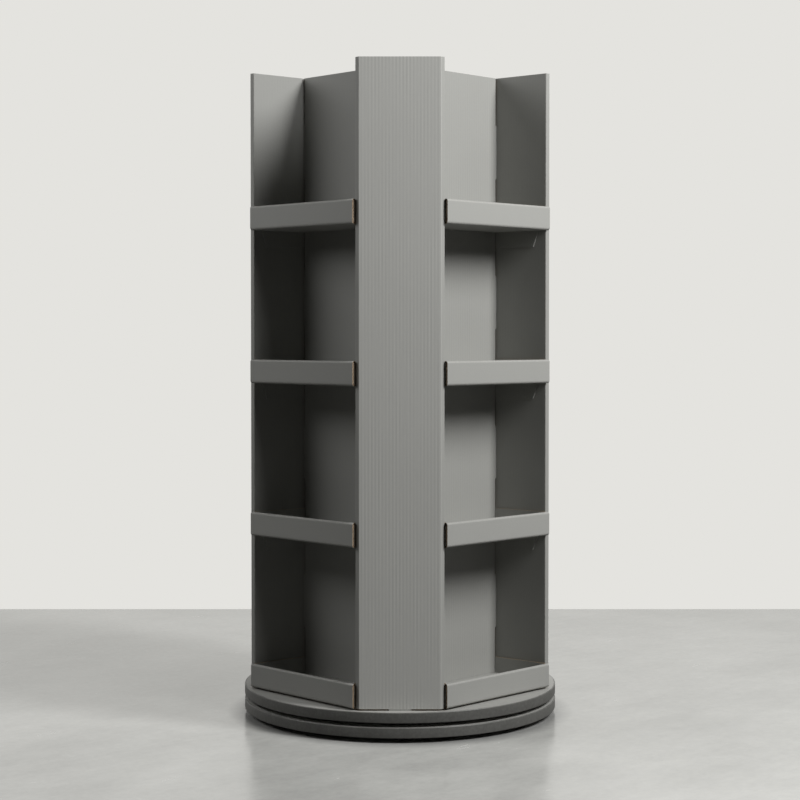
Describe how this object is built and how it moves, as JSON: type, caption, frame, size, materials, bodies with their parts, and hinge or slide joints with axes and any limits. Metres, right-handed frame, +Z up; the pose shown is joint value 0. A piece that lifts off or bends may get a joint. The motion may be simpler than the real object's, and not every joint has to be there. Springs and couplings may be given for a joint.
{
  "type": "revolving display stand",
  "caption": "Revolving four-sided floor display of folded grey corrugated board, with lipped trays between wide corner posts, on a round ball-bearing turntable base.",
  "frame": {"origin": "on the floor, on the turntable's axis", "axes": "+Z up along the turntable's axis; the four bays open along +X, +Y, -X and -Y and the posts stand on the diagonals"},
  "size_m": [0.6, 0.6, 1.217],
  "materials": {
    "grey_corrugated": "printed grey liner, matt, flute lines showing",
    "board_laminate": "grey laminate on chipboard, satin",
    "raw_board": "raw fibreboard",
    "black_plastic": "moulded black",
    "nylon": "natural nylon",
    "bearing_steel": "zinc plated",
    "zinc_screw": "zinc plated"
  },
  "bodies": {
    "base": {"lower_board": "board_laminate", "glide_feet": "black_plastic", "glide_screws": "zinc_screw", "lower_race": "bearing_steel", "lower_race_screws": "zinc_screw"},
    "ball_ring": {"ball_cage": "nylon", "bearing_balls": "bearing_steel"},
    "tower": {"back_panel_east": "grey_corrugated", "back_panel_north": "grey_corrugated", "back_panel_south": "grey_corrugated", "back_panel_west": "grey_corrugated", "base_sheet": "grey_corrugated", "core_block": "raw_board", "core_block_screws": "zinc_screw", "core_divider": "grey_corrugated", "core_lid": "grey_corrugated", "post_north_east": "grey_corrugated", "post_north_west": "grey_corrugated", "post_south_east": "grey_corrugated", "post_south_west": "grey_corrugated", "shelf_cleats_east": "grey_corrugated", "shelf_cleats_north": "grey_corrugated", "shelf_cleats_south": "grey_corrugated", "shelf_cleats_west": "grey_corrugated", "shelf_pad_east_1": "grey_corrugated", "shelf_pad_east_2": "grey_corrugated", "shelf_pad_east_3": "grey_corrugated", "shelf_pad_east_4": "grey_corrugated", "shelf_pad_north_1": "grey_corrugated", "shelf_pad_north_2": "grey_corrugated", "shelf_pad_north_3": "grey_corrugated", "shelf_pad_north_4": "grey_corrugated", "shelf_pad_south_1": "grey_corrugated", "shelf_pad_south_2": "grey_corrugated", "shelf_pad_south_3": "grey_corrugated", "shelf_pad_south_4": "grey_corrugated", "shelf_pad_west_1": "grey_corrugated", "shelf_pad_west_2": "grey_corrugated", "shelf_pad_west_3": "grey_corrugated", "shelf_pad_west_4": "grey_corrugated", "tray_east_1": "grey_corrugated", "tray_east_2": "grey_corrugated", "tray_east_3": "grey_corrugated", "tray_east_4": "grey_corrugated", "tray_north_1": "grey_corrugated", "tray_north_2": "grey_corrugated", "tray_north_3": "grey_corrugated", "tray_north_4": "grey_corrugated", "tray_south_1": "grey_corrugated", "tray_south_2": "grey_corrugated", "tray_south_3": "grey_corrugated", "tray_south_4": "grey_corrugated", "tray_west_1": "grey_corrugated", "tray_west_2": "grey_corrugated", "tray_west_3": "grey_corrugated", "tray_west_4": "grey_corrugated", "upper_board": "board_laminate", "upper_race": "bearing_steel", "upper_race_screws": "zinc_screw"}
  },
  "joints": [
    {"name": "turntable_spin", "type": "hinge", "parent": "base", "child": "tower", "pos_m": [0, 0, 0.032], "axis": [0, 0, 1], "continuous": true},
    {"name": "ball_ring_spin", "type": "hinge", "parent": "base", "child": "ball_ring", "pos_m": [0, 0, 0.032], "axis": [0, 0, 1], "continuous": true}
  ],
  "couplings": [
    {"joint": "ball_ring_spin", "follows": "turntable_spin", "ratio": 0.5}
  ]
}
